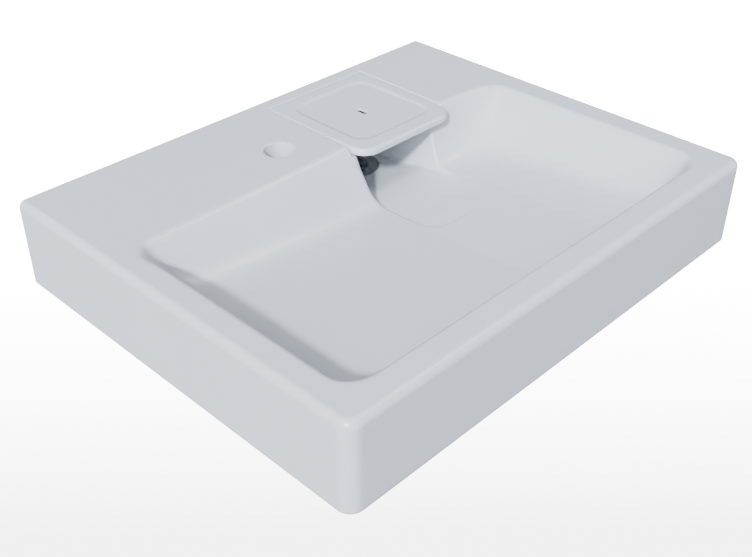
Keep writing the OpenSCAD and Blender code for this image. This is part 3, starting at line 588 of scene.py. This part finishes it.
# Silicone: milky and matt, with a grain of 0.5 mm that holds a little dust.
silicone, tree, place = start_material("matt_milky_silicone")
grain = add_node(tree, "ShaderNodeTexNoise", {"Scale": 1 / 0.0005, "Detail": 2.0}, Vector=place)
cloud = add_node(tree, "ShaderNodeTexNoise", {"Scale": 1 / 0.006, "Detail": 2.0}, Vector=place)
tone = add_node(tree, "ShaderNodeValToRGB", {"stops": ((0.3, "#D2D2CE"), (0.7, "#DEDEDA"))},
                Fac=cloud.outputs["Fac"])
gloss = add_node(tree, "ShaderNodeMapRange", {**middle, "To Min": 0.48, "To Max": 0.6},
                 Value=grain.outputs["Fac"])
edge = add_node(tree, "ShaderNodeBevel", broken)
skin = add_node(tree, "ShaderNodeBump", {"Strength": 0.5, "Distance": 0.00002},
                Height=grain.outputs["Fac"], Normal=edge.outputs["Normal"])
body = add_node(tree, "ShaderNodeBsdfPrincipled",
                {"IOR": 1.41, "Subsurface Weight": 0.25, "Subsurface Scale": 0.002},
                Base_Color=tone.outputs["Color"], Roughness=gloss.outputs["Result"],
                Normal=skin.outputs["Normal"])
add_node(tree, "ShaderNodeOutputMaterial", Surface=body.outputs["BSDF"])
dress(silicone, "cover_pads")


# Strainer flange and its screw. A dish pressed from 1.5 mm stainless sheet with eight holes round
# the screw, turned and polished, which the screw pulls down on the shell.

# Satin stainless steel: neutral and bright, with fine rings 0.4 mm apart round the drain's axis that
# spread the reflections, and duller patches where water has dried. A wave node's rings stand 0.314
# over its scale apart.
steel, tree, place = start_material("satin_stainless_steel_with_turning_rings")
centred = add_node(tree, "ShaderNodeMapping", {"Location": (-drain_x / 1000, -drain_y / 1000, 0)},
                   Vector=place)
rings = add_node(tree, "ShaderNodeTexWave", {"wave_type": "RINGS", "rings_direction": "Z",
                 "Scale": 0.314 / 0.0004, "Distortion": 0.6, "Detail": 1.0},
                 Vector=centred.outputs["Vector"])
cloud = add_node(tree, "ShaderNodeTexNoise", {"Scale": 1 / 0.012, "Detail": 4.0}, Vector=place)
tone = add_node(tree, "ShaderNodeValToRGB", {"stops": ((0.3, "#B4B6B8"), (0.7, "#CFD1D2"))},
                Fac=cloud.outputs["Fac"])
dried = add_node(tree, "ShaderNodeTexNoise", {"Scale": 1 / 0.008, "Detail": 5.0}, Vector=place)
gloss = add_node(tree, "ShaderNodeMapRange", {**middle, "To Min": 0.3, "To Max": 0.42},
                 Value=dried.outputs["Fac"])
edge = add_node(tree, "ShaderNodeBevel", broken)
skin = add_node(tree, "ShaderNodeBump", {"Strength": 0.3, "Distance": 0.000004},
                Height=rings.outputs["Fac"], Normal=edge.outputs["Normal"])
body = add_node(tree, "ShaderNodeBsdfPrincipled", {"Metallic": 1.0}, Base_Color=tone.outputs["Color"],
                Roughness=gloss.outputs["Result"], Normal=skin.outputs["Normal"])
add_node(tree, "ShaderNodeOutputMaterial", Surface=body.outputs["BSDF"])
dress(steel, "strainer_flange", "strainer_screw")


# Seals. Flat rings and strips cut or moulded from black EPDM rubber. Two seal the shell at the waste,
# four more the joints of the trap, and two strips lie between the bracket arms and the ribs.

# Black rubber: dark grey rather than black, matt, with a bloom in patches and a grain of 0.4 mm.
rubber, tree, place = start_material("matt_black_epdm_rubber")
grain = add_node(tree, "ShaderNodeTexNoise", {"Scale": 1 / 0.0004, "Detail": 3.0}, Vector=place)
bloom = add_node(tree, "ShaderNodeTexNoise", {"Scale": 1 / 0.015, "Detail": 4.0}, Vector=place)
tone = add_node(tree, "ShaderNodeValToRGB", {"stops": ((0.3, "#232425"), (0.7, "#343536"))},
                Fac=bloom.outputs["Fac"])
gloss = add_node(tree, "ShaderNodeMapRange", {**middle, "To Min": 0.6, "To Max": 0.78},
                 Value=grain.outputs["Fac"])
edge = add_node(tree, "ShaderNodeBevel", broken)
skin = add_node(tree, "ShaderNodeBump", {"Strength": 0.5, "Distance": 0.00004},
                Height=grain.outputs["Fac"], Normal=edge.outputs["Normal"])
body = add_node(tree, "ShaderNodeBsdfPrincipled", {"IOR": 1.52, "Specular IOR Level": 0.35},
                Base_Color=tone.outputs["Color"], Roughness=gloss.outputs["Result"],
                Normal=skin.outputs["Normal"])
add_node(tree, "ShaderNodeOutputMaterial", Surface=body.outputs["BSDF"])
dress(rubber, "upper_seal", "lower_seal", "union_seal", "head_seal", "cup_seal", "outlet_seal",
      "bracket_strips")


# Waste and bottle trap. Nine pieces injection-moulded from white polypropylene: the waste's cup, the
# dip pipe, the trap and its screwed cup, three nuts, the outlet pipe and the trim ring at the wall.
# Nuts and cup are ribbed for a wet hand.

# White polypropylene: a warm white that lets a little light in, smooth but not quite even, with
# flow marks some 12 mm wide and 34 mm long and a fine grain from the eroded mould.
plastic, tree, place = start_material("moulded_white_polypropylene")
grain = add_node(tree, "ShaderNodeTexNoise", {"Scale": 1 / 0.0006, "Detail": 2.0}, Vector=place)
drawn = add_node(tree, "ShaderNodeMapping", {"Scale": (1, 1, 0.35)}, Vector=place)
flow = add_node(tree, "ShaderNodeTexNoise", {"Scale": 1 / 0.012, "Detail": 3.0},
                Vector=drawn.outputs["Vector"])
tone = add_node(tree, "ShaderNodeValToRGB", {"stops": ((0.3, "#DCDCD7"), (0.7, "#E7E7E3"))},
                Fac=flow.outputs["Fac"])
patches = add_node(tree, "ShaderNodeTexNoise", {"Scale": 1 / 0.01, "Detail": 4.0}, Vector=place)
gloss = add_node(tree, "ShaderNodeMapRange", {**middle, "To Min": 0.3, "To Max": 0.42},
                 Value=patches.outputs["Fac"])
edge = add_node(tree, "ShaderNodeBevel", broken)
skin = add_node(tree, "ShaderNodeBump", {"Strength": 0.35, "Distance": 0.00001},
                Height=grain.outputs["Fac"], Normal=edge.outputs["Normal"])
body = add_node(tree, "ShaderNodeBsdfPrincipled",
                {"IOR": 1.49, "Subsurface Weight": 0.08, "Subsurface Scale": 0.003},
                Base_Color=tone.outputs["Color"], Roughness=gloss.outputs["Result"],
                Normal=skin.outputs["Normal"])
add_node(tree, "ShaderNodeOutputMaterial", Surface=body.outputs["BSDF"])
dress(plastic, "waste_body", "trap_inlet", "trap_head", "outlet_pipe")


def softened(corners, cut):
    """Profile whose corners are rounded: each corner P becomes the parabola (1-t)^2 A + 2t(1-t) P + t^2 B
    from a point A on the side before it to a point B on the side after it, cut away from P. Corners on
    the axis stay as they are."""
    corners = np.array(corners, float)
    cut = np.where(corners[:, 0] > 0, cut, 0.0)
    before, after = np.roll(corners, 1, axis=0) - corners, np.roll(corners, -1, axis=0) - corners
    length_before = np.hypot(before[:, 0], before[:, 1])
    length_after = np.hypot(after[:, 0], after[:, 1])
    a = corners + before * (np.minimum(cut, length_before / 2.2) / length_before)[:, None]
    b = corners + after * (np.minimum(cut, length_after / 2.2) / length_after)[:, None]
    t = np.linspace(0, 1, 5)[None, :, None]
    line = (1 - t) ** 2 * a[:, None] + 2 * t * (1 - t) * corners[:, None] + t ** 2 * b[:, None]
    line = line.reshape(-1, 3)
    return line[np.abs(line - np.roll(line, 1, axis=0)).max(axis=1) > 1e-6]


def turned_piece(name, profile, origin, along_wall_axis, ribs, rib_r, steps):
    """Surface of revolution from a closed profile of (radius, height, rib share): the point at angle a
    stands at radius + share * rib, where rib = sqrt(rib_r^2 - arc^2) and arc is the distance to the
    nearest rib's middle. The axis is Z, or Y when along_wall_axis is true."""
    angle = np.arange(steps) * 2 * np.pi / steps
    radius, height, share = (profile[:, k][:, None] for k in range(3))
    arc = (np.mod(angle * ribs / (2 * np.pi) + 0.5, 1) - 0.5) * 2 * np.pi / ribs * radius
    radius = radius + share * np.sqrt(np.maximum(rib_r ** 2 - arc ** 2, 0))
    across, up = radius * np.cos(angle), radius * np.sin(angle)
    height = height + 0 * angle
    axes = (across, height, -up) if along_wall_axis else (across, up, height)
    points = np.stack(axes, axis=-1).reshape(-1, 3) + np.array(origin)
    # On the axis a whole row is one point: cells beside it become triangles, cells between two such
    # rows fall away.
    ids = np.arange(len(profile) * steps).reshape(len(profile), steps)
    ids = np.where(profile[:, :1] > 0, ids, ids[:, :1])
    raised = np.roll(ids, -1, axis=0)
    faces = np.stack([ids, np.roll(ids, -1, axis=1), np.roll(raised, -1, axis=1), raised], axis=-1)
    faces = faces.reshape(-1, 4)
    used, faces = np.unique(faces, return_inverse=True)
    faces = faces.reshape(-1, 4)
    low_pole, high_pole = faces[:, 0] == faces[:, 1], faces[:, 2] == faces[:, 3]
    listed = faces[~low_pole & ~high_pole].tolist() + faces[low_pole & ~high_pole][:, 1:].tolist()
    listed += faces[high_pole & ~low_pole][:, :3].tolist()
    mesh = bpy.data.meshes.new(name)
    mesh.from_pydata((points[used] * 0.001).tolist(), [], listed)
    mesh.shade_smooth()
    mesh.set_sharp_from_angle(angle=math.radians(50))
    mesh.materials.append(plastic)
    made = bpy.data.objects.new(name, mesh)
    scene.collection.objects.link(made)
    return made


# Nuts: a lip round the pipe, a body round the thread, twelve ribs that fade out at both ends.
pipe_bore, nut_r, nut_lip, outlet_z = 16.2, 24.9, 5.0, -164.0
grip_r, nut_ribs, cup_ribs, ribbed_steps, smooth_steps = 2.2, 12, 24, 480, 192
# A nut is (name, radius of the thread, length, place of the lip's end on the axis, direction of the
# thread).
nuts = [
    ("union_nut", 19.0, 24.0, -111.0, 1),
    ("head_nut", 21.0, 24.0, -115.0, -1),
    ("outlet_nut", 20.0, 22.0, -26.0, -1)]
for nut_name, thread_r, tall, lip_end, way in nuts:
    nut_profile = softened([
        (pipe_bore, 0, 0), (nut_r, 0, 0), (nut_r, 1.2, 0), (nut_r, 2.6, 0.5), (nut_r, tall - 2.6, 0.5),
        (nut_r, tall - 1.2, 0), (nut_r, tall, 0), (thread_r, tall, 0), (thread_r, nut_lip, 0),
        (pipe_bore, nut_lip, 0)], cut=0.7)
    nut_profile[:, 1] = lip_end + way * nut_profile[:, 1]
    if way < 0:
        nut_profile = nut_profile[::-1]
    at_wall = nut_name == "outlet_nut"
    nut_place = (drain_x, 0, outlet_z) if at_wall else (drain_x, drain_y, 0)
    nut = turned_piece(nut_name + "_moulded", nut_profile, nut_place, at_wall, nut_ribs, grip_r, ribbed_steps)
    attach(nut, "basin")
    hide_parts(nut_name)

# Cup: tapered, with a grip ring of 24 ribs under the trap's head and a thread inside the head
cup_r, cup_inner, foot_r, foot_inner, grip_ring_r = 30.8, 27.8, 21.8, 18.8, 34.0
cup_floor, cup_bend, grip_low, grip_high, cup_rim = -255.0, -215.0, -213.0, -199.0, -187.0
cup_profile = softened([
    (0, cup_floor, 0), (foot_r, cup_floor, 0), (24.8, cup_floor + 3, 0), (cup_r, cup_bend, 0),
    (cup_r, grip_low, 0), (grip_ring_r, grip_low, 0), (grip_ring_r, grip_low + 0.8, 0),
    (grip_ring_r, grip_low + 2.2, 1), (grip_ring_r, grip_high - 2.2, 1), (grip_ring_r, grip_high - 0.8, 0),
    (grip_ring_r, grip_high, 0), (cup_r, grip_high, 0), (cup_r, cup_rim, 0), (cup_inner, cup_rim, 0),
    (cup_inner, cup_bend, 0), (foot_r, cup_floor + 6, 0), (foot_inner, cup_floor + 3, 0),
    (0, cup_floor + 3, 0)], cut=0.8)
cup = turned_piece("trap_cup_moulded", cup_profile, (drain_x, drain_y, 0), False, cup_ribs, grip_r,
                   ribbed_steps)
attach(cup, "basin")
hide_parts("trap_cup")

# Trim ring at the wall, domed by a quarter of an ellipse: height = start + high * (1 - sqrt(1 - s^2))
dome_r, dome_start, dome_wide, dome_high = 17.7, -8.0, 18.8, 6.5
dome = np.sin(np.radians(np.linspace(0, 90, 10)))
dome_line = [(dome_r + dome_wide * s, dome_start + dome_high * (1 - math.sqrt(max(1 - s * s, 0))), 0)
             for s in dome]
ring_profile = softened([(pipe_bore, dome_start, 0)] + dome_line + [
    (38, -0.3, 0), (38, 0, 0), (35, 0, 0), (dome_r, -5, 0), (pipe_bore, -5, 0)], cut=0.4)
trim_ring = turned_piece("wall_rosette_moulded", ring_profile, (drain_x, 0, outlet_z), True,
                         ribs=nut_ribs, rib_r=0.0, steps=smooth_steps)
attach(trim_ring, "basin")
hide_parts("wall_rosette")


# Insert nut and bracket inserts. Five pieces of turned brass, one moulded into the waste's bridge
# and four cast into the ribs, that take the steel screws.

# Turned brass: yellow metal with tool marks 0.3 mm apart along the axis and brown spots of tarnish.
brass, tree, place = start_material("turned_brass")
marks = add_node(tree, "ShaderNodeTexWave", {"wave_type": "BANDS", "bands_direction": "Z",
                 "Scale": 0.314 / 0.0003, "Distortion": 0.4, "Detail": 1.0}, Vector=place)
tarnish = add_node(tree, "ShaderNodeTexNoise", {"Scale": 1 / 0.004, "Detail": 4.0}, Vector=place)
tone = add_node(tree, "ShaderNodeValToRGB", {"stops": ((0.3, "#A98A4C"), (0.7, "#CDAE6C"))},
                Fac=tarnish.outputs["Fac"])
patches = add_node(tree, "ShaderNodeTexNoise", {"Scale": 1 / 0.003, "Detail": 4.0}, Vector=place)
gloss = add_node(tree, "ShaderNodeMapRange", {**middle, "To Min": 0.24, "To Max": 0.42},
                 Value=patches.outputs["Fac"])
edge = add_node(tree, "ShaderNodeBevel", broken)
skin = add_node(tree, "ShaderNodeBump", {"Strength": 0.5, "Distance": 0.00002},
                Height=marks.outputs["Fac"], Normal=edge.outputs["Normal"])
body = add_node(tree, "ShaderNodeBsdfPrincipled", {"Metallic": 1.0}, Base_Color=tone.outputs["Color"],
                Roughness=gloss.outputs["Result"], Normal=skin.outputs["Normal"])
add_node(tree, "ShaderNodeOutputMaterial", Surface=body.outputs["BSDF"])
dress(brass, "insert_nut", "bracket_inserts")


# Wall brackets. Each is welded from 5 mm steel plate, an arm under the basin and a leg on the wall
# with a gusset between them, and powder-coated a light grey close to the basin's white.

# Satin powder coat: an even light grey with the orange peel of baked powder, 1.4 mm across.
powder, tree, place = start_material("satin_light_grey_powder_coat")
peel = add_node(tree, "ShaderNodeTexNoise", {"Scale": 1 / 0.0014, "Detail": 1.0}, Vector=place)
cloud = add_node(tree, "ShaderNodeTexNoise", {"Scale": 1 / 0.03, "Detail": 4.0}, Vector=place)
tone = add_node(tree, "ShaderNodeValToRGB", {"stops": ((0.3, "#D3D6D7"), (0.7, "#DDDFE0"))},
                Fac=cloud.outputs["Fac"])
patches = add_node(tree, "ShaderNodeTexNoise", {"Scale": 1 / 0.006, "Detail": 3.0}, Vector=place)
gloss = add_node(tree, "ShaderNodeMapRange", {**middle, "To Min": 0.38, "To Max": 0.5},
                 Value=patches.outputs["Fac"])
edge = add_node(tree, "ShaderNodeBevel", broken)
skin = add_node(tree, "ShaderNodeBump", {"Strength": 0.45, "Distance": 0.00006},
                Height=peel.outputs["Fac"], Normal=edge.outputs["Normal"])
body = add_node(tree, "ShaderNodeBsdfPrincipled", {"IOR": 1.5, "Coat Weight": 0.15, "Coat Roughness": 0.2},
                Base_Color=tone.outputs["Color"], Roughness=gloss.outputs["Result"],
                Normal=skin.outputs["Normal"])
add_node(tree, "ShaderNodeOutputMaterial", Surface=body.outputs["BSDF"])
dress(powder, "left_bracket", "right_bracket")


# Bolts and washers. Four M8 hexagon bolts with wide washers hold the basin down on its brackets
# from below. Both are plated steel.

# Zinc plate: silver with a faint blue cast from its passivation, cloudy and half dull.
zinc, tree, place = start_material("blue_passivated_zinc_plate")
cloud = add_node(tree, "ShaderNodeTexNoise", {"Scale": 1 / 0.004, "Detail": 5.0}, Vector=place)
tone = add_node(tree, "ShaderNodeValToRGB", {"stops": ((0.3, "#A9B2BA"), (0.7, "#C6CACC"))},
                Fac=cloud.outputs["Fac"])
patches = add_node(tree, "ShaderNodeTexNoise", {"Scale": 1 / 0.002, "Detail": 4.0}, Vector=place)
gloss = add_node(tree, "ShaderNodeMapRange", {**middle, "To Min": 0.3, "To Max": 0.46},
                 Value=patches.outputs["Fac"])
grain = add_node(tree, "ShaderNodeTexNoise", {"Scale": 1 / 0.0005, "Detail": 2.0}, Vector=place)
edge = add_node(tree, "ShaderNodeBevel", broken)
skin = add_node(tree, "ShaderNodeBump", {"Strength": 0.4, "Distance": 0.00002},
                Height=grain.outputs["Fac"], Normal=edge.outputs["Normal"])
body = add_node(tree, "ShaderNodeBsdfPrincipled", {"Metallic": 1.0}, Base_Color=tone.outputs["Color"],
                Roughness=gloss.outputs["Result"], Normal=skin.outputs["Normal"])
add_node(tree, "ShaderNodeOutputMaterial", Surface=body.outputs["BSDF"])
dress(zinc, "bracket_bolts", "bracket_washers")
